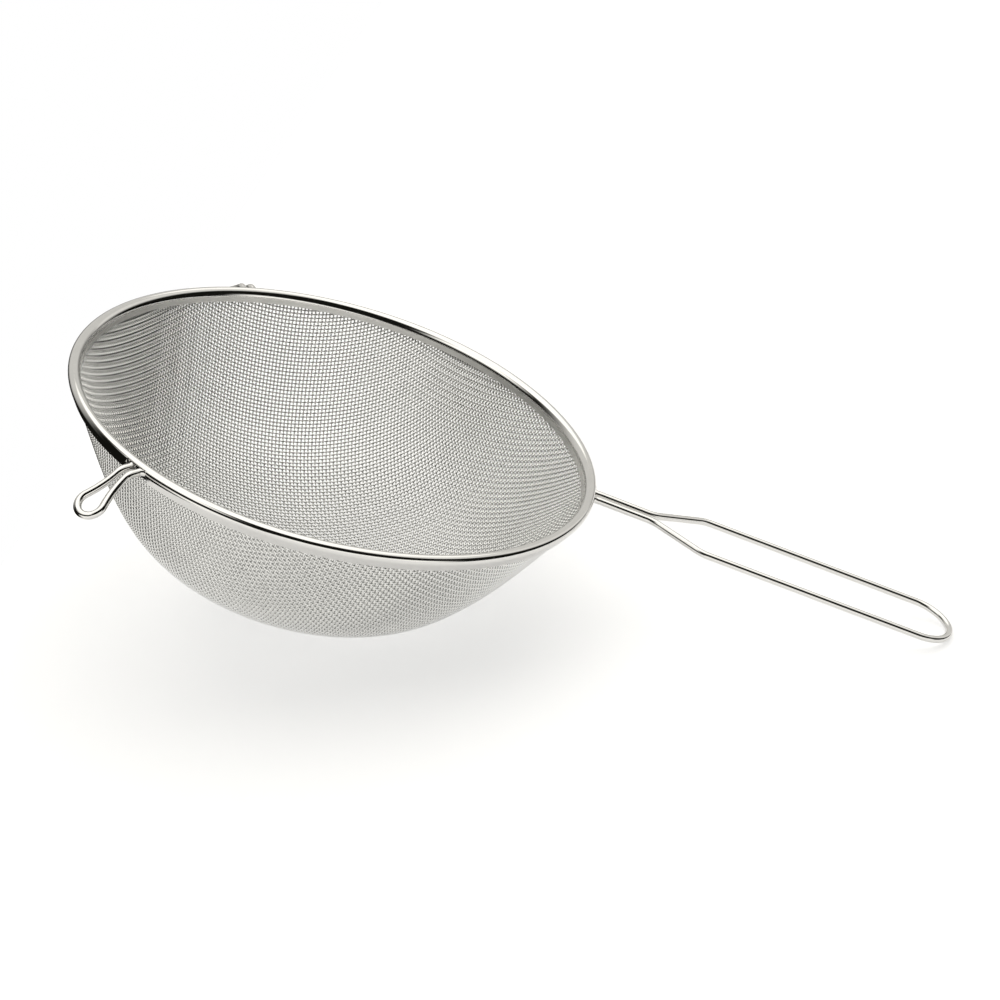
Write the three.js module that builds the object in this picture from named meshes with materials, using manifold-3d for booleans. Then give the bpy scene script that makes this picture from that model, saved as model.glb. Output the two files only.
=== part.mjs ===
// Bowl sieve: a wire-cloth bowl in a folded rim band, with a wire handle and two wire rest hooks.
// Millimetres, +Z up. The pieces are drawn level, with the rim's centre at the origin and the handle
// along +X. The whole sieve is then tipped until it rests on its bowl and on the handle's end.
import * as THREE from 'three';
import { mergeVertices } from 'three/addons/utils/BufferGeometryUtils.js';
import Module from 'manifold-3d';

// Rim band
const rimDiameter = 200;
const beadRadius = 2.1;
const bandThickness = 0.35;
const bandLean = 21;
const bandMouth = 3.4;
const innerLegLength = 3.75;
const outerLegLength = 3.35;
const rimSegments = 48;

// Wires
const wireDiameter = 2.8;
const wireSides = 8;
const fitGap = 0.3;
const legDrop = 0.6;
const tailSplitAngle = 60;

// Gaps in the band's outer leg
const notchHalfWidth = 5;
const notchTop = 1.3;

// Handle
const neckHalfWidth = 2.3;
const neckEndX = 123;
const spreadLength = 23.2;
const spreadBendRadius = 12;
const gripHalfWidth = 13.1;
const handleTipX = 245.8;
const handleDroop = 3.9;
const footBendRadius = 3;

// Hooks
const hookAngle = 122.9;
const hookNeckHalfWidth = 2.1;
const hookEyeRadius = 4.7;
const hookFlareRadius = 50;
const hookEyeReach = 22.2;
const hookLevelReach = 5.2;
const hookBendRadius = 4;
const hookBendAngle = 38;

// Bowl of wire cloth
const bowlDepth = 76.5;
const bottomRadius = 112.2;
const bottomAngle = 32.2;
const bottomPull = 19;
const wallLean = 27;
const wallPull = 23.7;
const hemShown = 0.95;
const hemOverlap = 0.4;
const clothPitch = 5.2;
const clothWireRadius = 0.4;
const clothWireSides = 3;
const clothLayerGap = 0.8;
const wovenHalfThickness = 0.45;
const clothTurn = 21.7;
const clothKnot = 4;

// Surfaces
const polishedSteel = { color: 0xd6d4cf, roughness: 0.12, metalness: 1 };
const clothSteel = { color: 0xc4c1ba, roughness: 0.3, metalness: 1 };

const degree = Math.PI / 180;
const ringRadius = rimDiameter / 2 - beadRadius;
const wireRadius = wireDiameter / 2;
const hemHalfWidth = bandMouth / 2 - bandThickness - fitGap;
const hemTop = wireRadius + 2 * fitGap;
const hemBottom = innerLegLength + hemShown;
const clothOffset = clothWireRadius * Math.cos(Math.PI / clothWireSides) + clothLayerGap / 2;

const wasm = await Module();
wasm.setup();

// Radius and height of a place in the band's section: distance outwards across it and down along it,
// both from the bead's centre.
function inSection(across, along) {
  const lean = bandLean * degree;
  return [
    ringRadius + across * Math.cos(lean) - along * Math.sin(lean),
    -across * Math.sin(lean) - along * Math.cos(lean),
  ];
}

const [clothTopRadius, clothTopHeight] = inSection(0, hemBottom - hemOverlap);

// Turns a closed geometry into a solid for cutting and joining.
function toSolid(geometry) {
  geometry.deleteAttribute('normal');
  geometry.deleteAttribute('uv');
  const merged = mergeVertices(geometry, 1e-4);
  return new wasm.Manifold(new wasm.Mesh({
    numProp: 3,
    vertProperties: Float32Array.from(merged.attributes.position.array),
    triVerts: Uint32Array.from(merged.index.array),
  }));
}

function toGeometry(solid) {
  const mesh = solid.getMesh();
  const geometry = new THREE.BufferGeometry();
  geometry.setAttribute('position', new THREE.BufferAttribute(Float32Array.from(mesh.vertProperties), 3));
  geometry.setIndex(new THREE.BufferAttribute(Uint32Array.from(mesh.triVerts), 1));
  geometry.computeVertexNormals();
  return geometry;
}

// Revolves a closed outline of [radius, height] corners about Z.
function revolve(corners) {
  const points = corners.map(([r, z]) => new THREE.Vector2(r, z));
  points.push(points[0].clone());
  const geometry = new THREE.LatheGeometry(points, rimSegments);
  geometry.rotateX(Math.PI / 2);
  geometry.rotateZ(Math.PI / 2);
  return geometry;
}

// A path whose stations are given: close together in bends, far apart on straights.
// A section drawn along it keeps its first axis as near as it can to the direction facing(station).
class StationPath extends THREE.Curve {
  constructor(stations, facing) {
    super();
    this.stations = stations;
    this.facing = facing;
  }

  getPoint(t, target = new THREE.Vector3()) {
    const last = this.stations.length - 1;
    const at = Math.min(Math.max(t, 0), 1) * last;
    const k = Math.min(Math.floor(at), last - 1);
    return target.copy(this.stations[k]).lerp(this.stations[k + 1], at - k);
  }

  getUtoTmapping(u) {
    return u;
  }

  getTangent(t, target = new THREE.Vector3()) {
    const last = this.stations.length - 1;
    const k = Math.round(t * last);
    target.set(0, 0, 0);
    if (k > 0) {
      target.add(this.stations[k].clone().sub(this.stations[k - 1]).normalize());
    }
    if (k < last) {
      target.add(this.stations[k + 1].clone().sub(this.stations[k]).normalize());
    }
    return target.normalize();
  }

  computeFrenetFrames(steps) {
    const frames = { tangents: [], normals: [], binormals: [] };
    for (let k = 0; k <= steps; k += 1) {
      const tangent = this.getTangent(k / steps);
      const binormal = tangent.clone().cross(this.facing(this.stations[k])).normalize();
      frames.tangents.push(tangent);
      frames.normals.push(binormal.clone().cross(tangent));
      frames.binormals.push(binormal);
    }
    return frames;
  }
}

// A wire with a regular section, drawn along its stations with one flat towards facing(station).
function drawWire(stations, radius, sides, facing) {
  const section = new THREE.Shape();
  for (let k = 0; k < sides; k += 1) {
    const angle = (k + 0.5) * 2 * Math.PI / sides;
    const corner = [radius * Math.cos(angle), radius * Math.sin(angle)];
    if (k === 0) {
      section.moveTo(...corner);
    } else {
      section.lineTo(...corner);
    }
  }
  const path = new StationPath(stations, facing);
  return new THREE.ExtrudeGeometry(section, {
    steps: stations.length - 1,
    extrudePath: path,
    bevelEnabled: false,
  });
}

// Points on an arc in a plane, from one angle to another, ends included.
function arc(cx, cy, radius, from, to, steps) {
  const points = [];
  for (let k = 0; k <= steps; k += 1) {
    const angle = from + (to - from) * k / steps;
    points.push([cx + radius * Math.cos(angle), cy + radius * Math.sin(angle)]);
  }
  return points;
}

// The height of a wire that has moved outwards from the bead's centre circle.
function exitHeight(shift) {
  return -legDrop * (1 - Math.exp(-2.5 * Math.max(shift, 0)));
}

// A tail in the bead, from its butt end at angle `from` to angle `to`, at the rim's own corners between.
function tail(from, to) {
  const step = 360 / rimSegments;
  const way = Math.sign(to - from);
  const angles = [from];
  for (let k = 0; k <= rimSegments; k += 1) {
    const next = way * (Math.ceil(way * from / step + 0.2) + k) * step;
    if (way * (to - next) < 0.3 * step) {
      break;
    }
    angles.push(next);
  }
  return angles.map((angle) => new THREE.Vector3(
    ringRadius * Math.cos(angle * degree),
    ringRadius * Math.sin(angle * degree),
    0,
  ));
}

// The turn from the bead to a leg at distance `half` beside the leg pair's middle line.
// Each station holds its distance out along that line, its distance aside and its height.
function footBend(half) {
  const aside = half + footBendRadius;
  const out = Math.sqrt((ringRadius + footBendRadius) ** 2 - aside ** 2);
  const start = Math.PI + Math.atan2(aside, out);
  return arc(out, aside, footBendRadius, start, 1.5 * Math.PI, 6).map(([x, y]) => {
    const shift = Math.hypot(x, y) - ringRadius;
    return [x, y, exitHeight(shift)];
  });
}

function footAngle(half) {
  const aside = half + footBendRadius;
  return Math.asin(aside / (ringRadius + footBendRadius)) / degree;
}

function mirrored(stations) {
  return stations.map((p) => new THREE.Vector3(p.x, -p.y, p.z)).reverse();
}

// Handle: a tail, a foot, the neck, the spread and half of the round end, then the same mirrored.
function handleStations() {
  const half = tail(tailSplitAngle, footAngle(neckHalfWidth));
  const foot = footBend(neckHalfWidth);
  foot.forEach(([x, y, z]) => half.push(new THREE.Vector3(x, y, z)));
  const footX = foot[foot.length - 1][0];
  const footZ = foot[foot.length - 1][2];
  const rise = gripHalfWidth - neckHalfWidth;
  const between = Math.hypot(spreadLength, rise - 2 * spreadBendRadius);
  const lean = Math.atan2(rise - 2 * spreadBendRadius, spreadLength)
    + Math.asin(2 * spreadBendRadius / between);
  const spreadEndX = neckEndX + spreadLength;
  const plan = [
    ...arc(neckEndX, neckHalfWidth + spreadBendRadius, spreadBendRadius,
      -Math.PI / 2, -Math.PI / 2 + lean, 4),
    ...arc(spreadEndX, gripHalfWidth - spreadBendRadius, spreadBendRadius,
      Math.PI / 2 + lean, Math.PI / 2, 4),
    ...arc(handleTipX - gripHalfWidth, 0, gripHalfWidth, Math.PI / 2, 0, 7),
  ];
  const slope = Math.tan(handleDroop * degree);
  plan.forEach(([x, y]) => half.push(new THREE.Vector3(x, y, footZ - slope * (x - footX))));
  return [...half, ...mirrored(half).slice(1)];
}

// Out and down position at path length u along a hook, measured from the bead's centre circle.
function hookCourse(u) {
  const bend = hookBendAngle * degree;
  if (u < hookLevelReach) {
    return [u, exitHeight(u)];
  }
  const bent = Math.min((u - hookLevelReach) / hookBendRadius, bend);
  const straight = Math.max(u - hookLevelReach - hookBendRadius * bend, 0);
  return [
    hookLevelReach + hookBendRadius * Math.sin(bent) + straight * Math.cos(bend),
    -legDrop - hookBendRadius * (1 - Math.cos(bent)) - straight * Math.sin(bend),
  ];
}

// A hook at +X: a tail, a foot, a leg that flares and half of the eye, then the same mirrored.
function hookStations() {
  const step = 0.5 * fitGap / ringRadius / degree;
  const foot = footBend(hookNeckHalfWidth);
  const start = footAngle(hookNeckHalfWidth);
  const upper = tail(180 - step - hookAngle, start);
  const lower = tail(hookAngle - tailSplitAngle - 2 * step, start);
  const loop = [];
  foot.forEach(([x, y, z]) => loop.push(new THREE.Vector3(x, y, z)));
  const flareStart = hookEyeReach - Math.sqrt(
    (hookEyeRadius + hookFlareRadius) ** 2 - (hookNeckHalfWidth + hookFlareRadius) ** 2,
  );
  const join = Math.atan2(hookNeckHalfWidth + hookFlareRadius, hookEyeReach - flareStart);
  const legHalfWidth = (u) => {
    const past = Math.max(u - flareStart, 0);
    return hookNeckHalfWidth + hookFlareRadius - Math.sqrt(hookFlareRadius ** 2 - past ** 2);
  };
  const bendLength = hookBendRadius * hookBendAngle * degree;
  const legReaches = [0, 1, 2, 3].map((k) => hookLevelReach + bendLength * k / 3);
  const outline = legReaches.map((u) => [u, legHalfWidth(u)]);
  const bendEnd = hookLevelReach + bendLength;
  const flare = [
    ...arc(flareStart, hookNeckHalfWidth + hookFlareRadius, hookFlareRadius, -Math.PI / 2, -join, 3),
    ...arc(hookEyeReach, 0, hookEyeRadius, Math.PI - join, 0, 8).slice(1),
  ];
  outline.push(...flare.filter(([u]) => u > bendEnd + 1));
  outline.forEach(([u, t]) => {
    const [out, fall] = hookCourse(u);
    loop.push(new THREE.Vector3(ringRadius + out, t, fall));
  });
  const half = [...upper, ...loop];
  const other = mirrored([...lower, ...loop]);
  return [...half, ...other.slice(1)];
}

const down = new THREE.Vector3(0, 0, -1);

function drawFrameWire(stations) {
  return drawWire(stations, wireRadius, wireSides, () => down);
}

function turned(stations, angle) {
  const axis = new THREE.Vector3(0, 0, 1);
  return stations.map((p) => p.clone().applyAxisAngle(axis, angle * degree));
}

// The angle at which a straight leg that ends at the band's mouth leaves the round bead.
function legAngle(length) {
  const half = bandMouth / 2;
  return Math.atan2(length, half) - Math.acos(beadRadius / Math.hypot(half, length));
}

// Rim band: a round bead and two straight legs, cut away outside at the handle and at both hooks.
function rimBand() {
  const inside = beadRadius - bandThickness;
  const outerAngle = legAngle(outerLegLength);
  const innerAngle = legAngle(innerLegLength);
  const mouth = bandMouth / 2;
  const section = [
    [mouth, outerLegLength],
    ...arc(0, 0, beadRadius, outerAngle, -Math.PI - innerAngle, 10),
    [-mouth, innerLegLength],
    [-mouth + bandThickness * Math.cos(innerAngle), innerLegLength - bandThickness * Math.sin(innerAngle)],
    ...arc(0, 0, inside, -Math.PI - innerAngle, outerAngle, 8),
    [mouth - bandThickness * Math.cos(outerAngle), outerLegLength - bandThickness * Math.sin(outerAngle)],
  ];
  let band = toSolid(revolve(section.map(([across, along]) => inSection(across, along))));
  for (const angle of [0, hookAngle, -hookAngle]) {
    const depth = 4 * beadRadius;
    const height = notchTop + 2 * outerLegLength;
    const notch = new THREE.BoxGeometry(depth, 2 * notchHalfWidth, height);
    notch.translate(ringRadius + depth / 2 - fitGap, 0, notchTop - height / 2);
    notch.rotateZ(angle * degree);
    band = band.subtract(toSolid(notch));
  }
  return toGeometry(band);
}

// The bowl's outline from the pole to the hem, as evenly spaced samples of arc length, radius and height.
function bowlOutline() {
  const join = bottomAngle * degree;
  const points = arc(0, bottomRadius - bowlDepth, bottomRadius, -Math.PI / 2, -Math.PI / 2 + join, 60);
  const [joinR, joinZ] = points[points.length - 1];
  const wall = new THREE.CubicBezierCurve(
    new THREE.Vector2(joinR, joinZ),
    new THREE.Vector2(joinR + bottomPull * Math.cos(join), joinZ + bottomPull * Math.sin(join)),
    new THREE.Vector2(
      clothTopRadius - wallPull * Math.sin(wallLean * degree),
      clothTopHeight - wallPull * Math.cos(wallLean * degree),
    ),
    new THREE.Vector2(clothTopRadius, clothTopHeight),
  );
  wall.getPoints(80).slice(1).forEach((p) => points.push([p.x, p.y]));
  const samples = [[0, 0, -bowlDepth]];
  for (let k = 1; k < points.length; k += 1) {
    const length = Math.hypot(points[k][0] - points[k - 1][0], points[k][1] - points[k - 1][1]);
    samples.push([samples[k - 1][0] + length, points[k][0], points[k][1]]);
  }
  return samples;
}

const outlineSamples = bowlOutline();
const clothReach = outlineSamples[outlineSamples.length - 1][0];

// Radius, height and outline direction at arc length s. Past the hem the outline runs straight up.
function outlineAt(s) {
  if (s >= clothReach) {
    return { r: clothTopRadius, z: clothTopHeight + s - clothReach, dr: 0, dz: 1 };
  }
  let low = 0;
  let high = outlineSamples.length - 1;
  while (high - low > 1) {
    const middle = (low + high) >> 1;
    if (outlineSamples[middle][0] <= s) {
      low = middle;
    } else {
      high = middle;
    }
  }
  const [s0, r0, z0] = outlineSamples[low];
  const [s1, r1, z1] = outlineSamples[high];
  const share = (s - s0) / (s1 - s0);
  const span = s1 - s0;
  return { r: r0 + (r1 - r0) * share, z: z0 + (z1 - z0) * share, dr: (r1 - r0) / span, dz: (z1 - z0) / span };
}

// A point of the bowl from flat coordinates: the pole at 0, distance = arc length, same bearing.
function bowlPoint(u, v) {
  const s = Math.hypot(u, v);
  const { r, z } = outlineAt(s);
  const scale = s > 1e-9 ? r / s : 1;
  return new THREE.Vector3(u * scale, v * scale, z);
}

function bowlNormal(u, v) {
  const s = Math.hypot(u, v);
  if (s < 1e-9) {
    return new THREE.Vector3(0, 0, -1);
  }
  const { dr, dz } = outlineAt(s);
  return new THREE.Vector3(dz * u / s, dz * v / s, -dr);
}

// Crossings of the cloth in one quarter of the bowl. Two wires follow meridians, and every other
// crossing lies one pitch from its two earlier neighbours, as in cloth whose squares only shear.
function clothCrossings() {
  const count = Math.ceil(clothReach / clothPitch / clothKnot + 1) * clothKnot;
  const net = [];
  for (let i = 0; i <= count; i += 1) {
    net.push([]);
    for (let j = 0; j <= count; j += 1) {
      if (i === 0 || j === 0) {
        net[i].push({ u: i * clothPitch, v: j * clothPitch });
        continue;
      }
      const a = net[i - 1][j];
      const b = net[i][j - 1];
      const c = net[i - 1][j - 1];
      net[i].push(fourthCorner(a, b, c));
    }
  }
  return net;
}

// The crossing one pitch from crossings a and b on the side away from c, by Newton steps.
function fourthCorner(a, b, c) {
  const pa = bowlPoint(a.u, a.v);
  const pb = bowlPoint(b.u, b.v);
  let u = a.u + b.u - c.u;
  let v = a.v + b.v - c.v;
  for (let round = 0; round < 8; round += 1) {
    const h = 1e-4;
    const miss = (x, y) => {
      const p = bowlPoint(x, y);
      return [p.distanceTo(pa) - clothPitch, p.distanceTo(pb) - clothPitch];
    };
    const [f, g] = miss(u, v);
    const [fu, gu] = miss(u + h, v).map((m, k) => (m - [f, g][k]) / h);
    const [fv, gv] = miss(u, v + h).map((m, k) => (m - [f, g][k]) / h);
    const det = fu * gv - fv * gu;
    const limit = 0.5 * clothPitch;
    u += Math.min(Math.max((fv * g - gv * f) / det, -limit), limit);
    v += Math.min(Math.max((gu * f - fu * g) / det, -limit), limit);
  }
  return { u, v };
}

// Stations of one cloth wire in the first quarter, from the meridian wire to the hem.
// `lane` counts wires from the pole. Both layers lie on one coarse surface, so they never meet.
function quarterWire(at, lane, side) {
  const base = Math.floor(lane / clothKnot) * clothKnot;
  const share = (lane - base) / clothKnot;
  const place = (k) => {
    const a = at(base, k);
    const b = share > 0 ? at(base + clothKnot, k) : a;
    const spot = bowlPoint(a.u, a.v).lerp(bowlPoint(b.u, b.v), share);
    const normal = bowlNormal(a.u, a.v).lerp(bowlNormal(b.u, b.v), share).normalize();
    return spot.addScaledVector(normal, side * clothOffset);
  };
  const length = (k) => Math.hypot(at(lane, k).u, at(lane, k).v);
  let end = 0;
  while (length(end + 1) < clothReach) {
    end += 1;
  }
  const part = (clothReach - length(end)) / (length(end + 1) - length(end));
  const stations = [];
  for (let k = 0; k <= end + part - 0.3 * clothKnot || k === 0; k += clothKnot) {
    stations.push(place(k));
  }
  const a = at(lane, end);
  const b = at(lane, end + 1);
  const tipU = a.u + (b.u - a.u) * part;
  const tipV = a.v + (b.v - a.v) * part;
  const inside = (clothReach - 0.01) / Math.hypot(tipU, tipV);
  const normal = bowlNormal(tipU * inside, tipV * inside);
  stations.push(bowlPoint(tipU, tipV).addScaledVector(normal, side * clothOffset));
  return stations;
}

// One cloth wire. Its flat side faces the other layer.
function drawClothWire(stations, side) {
  const centre = new THREE.Vector3(0, 0, bottomRadius - bowlDepth);
  const facing = (p) => p.clone().sub(centre).multiplyScalar(-side).normalize();
  return toSolid(drawWire(stations, clothWireRadius, clothWireSides, facing));
}

// The cloth as two layers of wires laid on the bowl, joined to the hem at both ends.
function meshBowl() {
  const net = clothCrossings();
  let cloth = toSolid(revolve([
    inSection(hemHalfWidth, hemBottom),
    inSection(hemHalfWidth, hemTop),
    inSection(-hemHalfWidth, hemTop),
    inSection(-hemHalfWidth, hemBottom),
  ]));
  const lanes = Math.floor((clothReach - 0.8 * clothPitch) / clothPitch);
  const families = [
    { at: (lane, k) => net[lane][k], side: 1, along: new THREE.Vector3(1, -1, 1) },
    { at: (lane, k) => net[k][lane], side: -1, along: new THREE.Vector3(-1, 1, 1) },
  ];
  for (const { at, side, along } of families) {
    const across = new THREE.Vector3(-along.x, -along.y, 1);
    for (let lane = 0; lane <= lanes; lane += 1) {
      const half = quarterWire(at, lane, side);
      const rest = half.slice(1).map((p) => p.clone().multiply(along));
      const whole = [...rest.reverse(), ...half];
      cloth = cloth.add(drawClothWire(whole, side));
      if (lane > 0) {
        const twin = whole.map((p) => p.clone().multiply(across));
        cloth = cloth.add(drawClothWire(twin, side));
      }
    }
  }
  const geometry = toGeometry(cloth);
  geometry.rotateZ(clothTurn * degree);
  return geometry;
}

// The tip angle at which the bottom of the woven cloth and the handle's end are at one height.
function restTilt() {
  const footX = ringRadius + footBendRadius;
  const tipZ = -legDrop - Math.tan(handleDroop * degree) * (handleTipX - footX);
  let low = 0;
  let high = bottomAngle * degree;
  for (let k = 0; k < 60; k += 1) {
    const tilt = (low + high) / 2;
    const bowl = (bottomRadius - bowlDepth) * Math.cos(tilt) - bottomRadius - wovenHalfThickness;
    const tip = -handleTipX * Math.sin(tilt) + tipZ * Math.cos(tilt) - wireRadius;
    if (tip > bowl) {
      low = tilt;
    } else {
      high = tilt;
    }
  }
  return (low + high) / 2;
}

function piece(name, geometry, surface) {
  const mesh = new THREE.Mesh(geometry, new THREE.MeshStandardMaterial(surface));
  mesh.name = name;
  return mesh;
}

const hook = hookStations();
const sieve = new THREE.Group();
sieve.name = 'bowl_sieve';
sieve.add(piece('rim_band', rimBand(), polishedSteel));
sieve.add(piece('handle_wire', drawFrameWire(handleStations()), polishedSteel));
sieve.add(piece('front_hook', drawFrameWire(mirrored(turned(hook, hookAngle))), polishedSteel));
sieve.add(piece('rear_hook', drawFrameWire(turned(hook, hookAngle)), polishedSteel));
sieve.add(piece('mesh_bowl', meshBowl(), clothSteel));

// Tips the sieve to its rest and puts the origin under the middle of its box.
sieve.rotation.y = restTilt();
const box = new THREE.Box3().setFromObject(sieve, true);
sieve.position.set(-(box.min.x + box.max.x) / 2, 0, -box.min.z);

const part = new THREE.Group();
part.name = 'part';
part.add(sieve);
part.updateMatrixWorld(true);

export default part;
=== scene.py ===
"""Bowl sieve: woven wire in a folded rim band, with a wire handle and two wire rest hooks.

The pieces are drawn level, with the rim's centre at the origin and the handle along +X. Each
finished piece is drawn a little out of round beside the handle, and is then tipped and moved to
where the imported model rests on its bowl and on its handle's end.
"""
import math

import bmesh
import bpy
import numpy as np
from bpy.props import FloatProperty, FloatVectorProperty, IntProperty, PointerProperty
from mathutils import Matrix, Vector


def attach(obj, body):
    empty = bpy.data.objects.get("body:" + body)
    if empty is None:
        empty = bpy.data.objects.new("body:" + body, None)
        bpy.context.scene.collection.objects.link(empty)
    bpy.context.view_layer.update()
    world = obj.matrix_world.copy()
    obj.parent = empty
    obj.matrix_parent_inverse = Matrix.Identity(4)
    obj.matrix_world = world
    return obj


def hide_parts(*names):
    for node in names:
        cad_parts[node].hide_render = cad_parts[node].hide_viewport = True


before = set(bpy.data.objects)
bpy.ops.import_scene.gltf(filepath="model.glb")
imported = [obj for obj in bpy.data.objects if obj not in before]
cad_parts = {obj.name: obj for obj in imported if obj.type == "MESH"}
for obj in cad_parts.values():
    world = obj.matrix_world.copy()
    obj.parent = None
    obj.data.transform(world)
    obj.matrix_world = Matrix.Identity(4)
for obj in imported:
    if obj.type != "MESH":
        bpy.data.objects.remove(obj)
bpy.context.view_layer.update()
MM = 0.001

bl_info = {
    "name": "Bowl Sieve",
    "version": (1, 0, 0),
    "blender": (4, 5, 0),
    "location": "View3D > Sidebar > Sieve",
    "description": "Builds a wire sieve from its band, bent wires and woven cloth",
    "category": "Add Mesh",
}


def length(name, default, description):
    """A size of the sieve, given here in millimetres."""
    return FloatProperty(name=name, description=description, default=default * MM, min=0.0,
                         precision=5, unit="LENGTH")


def turn(name, default, description):
    """An angle of the sieve, given here in degrees."""
    return FloatProperty(name=name, description=description, default=math.radians(default),
                         precision=4, unit="ROTATION")


def tint(name, default, description):
    """A colour of a finish."""
    return FloatVectorProperty(name=name, description=description, default=default, size=3,
                               min=0.0, max=1.0, subtype="COLOR")


class SieveRest(bpy.types.PropertyGroup):
    """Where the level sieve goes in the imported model's frame."""

    tilt: turn("Rest Tilt", 15.7718424, "Tip towards the handle when the sieve rests on a table")
    rim_centre: FloatVectorProperty(
        name="Rim Centre", description="Centre of the rim wire's circle when the sieve rests",
        default=(-0.0693937, 0.0, 0.0782931), size=3, precision=5, unit="LENGTH",
        subtype="TRANSLATION")


class BandSizes(bpy.types.PropertyGroup):
    """Sizes of the folded rim band."""

    ring_radius: length("Ring Radius", 97.9, "Radius of the circle through the bead's middle")
    bead_radius: length("Bead Radius", 2.1, "Outer radius of the rolled bead")
    thickness: length("Strip Thickness", 0.35, "Thickness of the steel strip")
    lean: turn("Band Lean", 21.0, "Angle of the two legs from upright, inwards")
    mouth: length("Mouth", 3.4, "Outside width of the band at the ends of its legs")
    inner_leg: length("Inner Leg", 3.75, "Length of the inner leg along the band")
    outer_leg: length("Outer Leg", 3.6, "Length of the outer leg along the band")
    shoulder_radius: length("Shoulder Radius", 4.0, "Wider bend from the bead to the inner leg")
    shoulder_start: turn("Shoulder Start", 52.0, "How far the strip faces up where it begins")
    shoulder_end: turn("Shoulder End", 11.0, "How far it still faces up at the pressed edge")
    notch_half: length("Notch Half Width", 5.0, "Half the width of the gaps for the wires")
    notch_top: length("Notch Top", 1.3, "Height of the gaps above the bead's middle")
    pull: length("Handle Pull", 2.4, "How far the rim is drawn out of round beside the handle")
    pull_bearing: turn("Pull Bearing", -12.0, "Where that pull is strongest, from the handle")


class WireSizes(bpy.types.PropertyGroup):
    """Sizes of the handle wire and of the two hooks."""

    radius: length("Wire Radius", 1.4, "Radius of the frame wire")
    leg_drop: length("Leg Drop", 0.6, "How far the legs lie below the bead's middle")
    foot_radius: length("Foot Bend", 3.0, "Bend from the bead to a leg")
    butt_gap: length("Butt Gap", 0.3, "Gap between the wire ends inside the bead")
    butt_angle: turn("Butt Angle", 60.0, "Where the handle's tails end, from the handle's middle")
    neck_half: length("Neck Half Width", 2.3, "Half the spacing of the handle's legs at the rim")
    neck_end: length("Neck End", 123.3, "Distance from the rim's centre to where the legs spread")
    spread: length("Spread", 25.2, "Distance over which the legs spread")
    spread_bend: length("Spread Bend", 10.0, "Bend at both ends of the spread")
    grip_half: length("Grip Half Width", 13.1, "Half the spacing of the long legs")
    tip_reach: length("Handle Tip", 245.8, "Distance from the rim's centre to the handle's end")
    droop: turn("Handle Droop", 3.9, "Slope of the handle below the rim's plane")
    front_angle: turn("Front Hook Angle", 123.4, "Angle from the handle to the front hook")
    rear_angle: turn("Rear Hook Angle", 121.9, "Angle from the handle to the rear hook")
    hook_neck_half: length("Hook Neck", 2.0, "Half the spacing of a hook's legs at the rim")
    eye_radius: length("Hook Eye", 4.76, "Radius of the round end of a hook")
    flare_radius: length("Hook Flare", 35.0, "Bend from a hook's legs to its eye")
    eye_reach: length("Hook Reach", 22.4, "Path length from the ring circle to the eye's middle")
    level_reach: length("Hook Level", 5.2, "Path length of the level part of a hook")
    hook_bend_radius: length("Hook Bend", 4.0, "Radius of the downward bend of a hook")
    hook_bend: turn("Hook Slope", 36.5, "Angle of the downward bend of a hook")


class ClothSizes(bpy.types.PropertyGroup):
    """Sizes of the woven bowl."""

    depth: length("Bowl Depth", 76.3, "Depth of the cloth below the bead's middle")
    bottom_radius: length("Bottom Radius", 112.2, "Radius of the round bottom")
    bottom_angle: turn("Bottom Angle", 32.2, "Angle at which the bottom meets the wall")
    bottom_pull: length("Bottom Pull", 19.0, "How far the wall follows the bottom's direction")
    wall_lean: turn("Wall Lean", 27.0, "Angle of the wall from upright at the band")
    wall_pull: length("Wall Pull", 23.7, "How far the wall follows that lean")
    wall_top: length("Wall Top", 4.3, "Where the wall meets the band's own lean, along the band")
    cloth_top: length("Cloth Top", 2.2, "Where the cloth ends inside the band, along the band")
    hem_half: length("Hem Half Width", 0.95, "Half the thickness of the folded hem in the band")
    hem_end: length("Hem End", 3.2, "Where the folded hem ends, along the band")
    pitch: length("Pitch", 1.52, "Distance from wire to wire")
    wire_radius: length("Cloth Wire Radius", 0.34, "Radius of one cloth wire")
    lay: turn("Lay", 21.7, "Angle from the handle to the first family of wires")
    parts: IntProperty(name="Parts", description="Pieces that each family of wires is split into",
                       default=5, min=1)


class SieveFinish(bpy.types.PropertyGroup):
    """Colours of the metals and of the table."""

    band: tint("Band", (0.84, 0.83, 0.81), "Polished strip")
    wire: tint("Wire", (0.84, 0.83, 0.81), "Polished frame wire")
    cloth: tint("Cloth", (0.93, 0.93, 0.915), "Drawn cloth wire")
    floor: tint("Floor", (0.86, 0.86, 0.86), "Table top")


class Value:
    """A socket of a node tree that can be used in Python sums."""

    def __init__(self, sheet, socket):
        self.sheet = sheet
        self.socket = socket

    def __add__(self, other):
        return self.sheet.maths("ADD", self, other)

    def __radd__(self, other):
        return self.sheet.maths("ADD", other, self)

    def __sub__(self, other):
        return self.sheet.maths("SUBTRACT", self, other)

    def __rsub__(self, other):
        return self.sheet.maths("SUBTRACT", other, self)

    def __mul__(self, other):
        return self.sheet.maths("MULTIPLY", self, other)

    def __rmul__(self, other):
        return self.sheet.maths("MULTIPLY", other, self)


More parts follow.
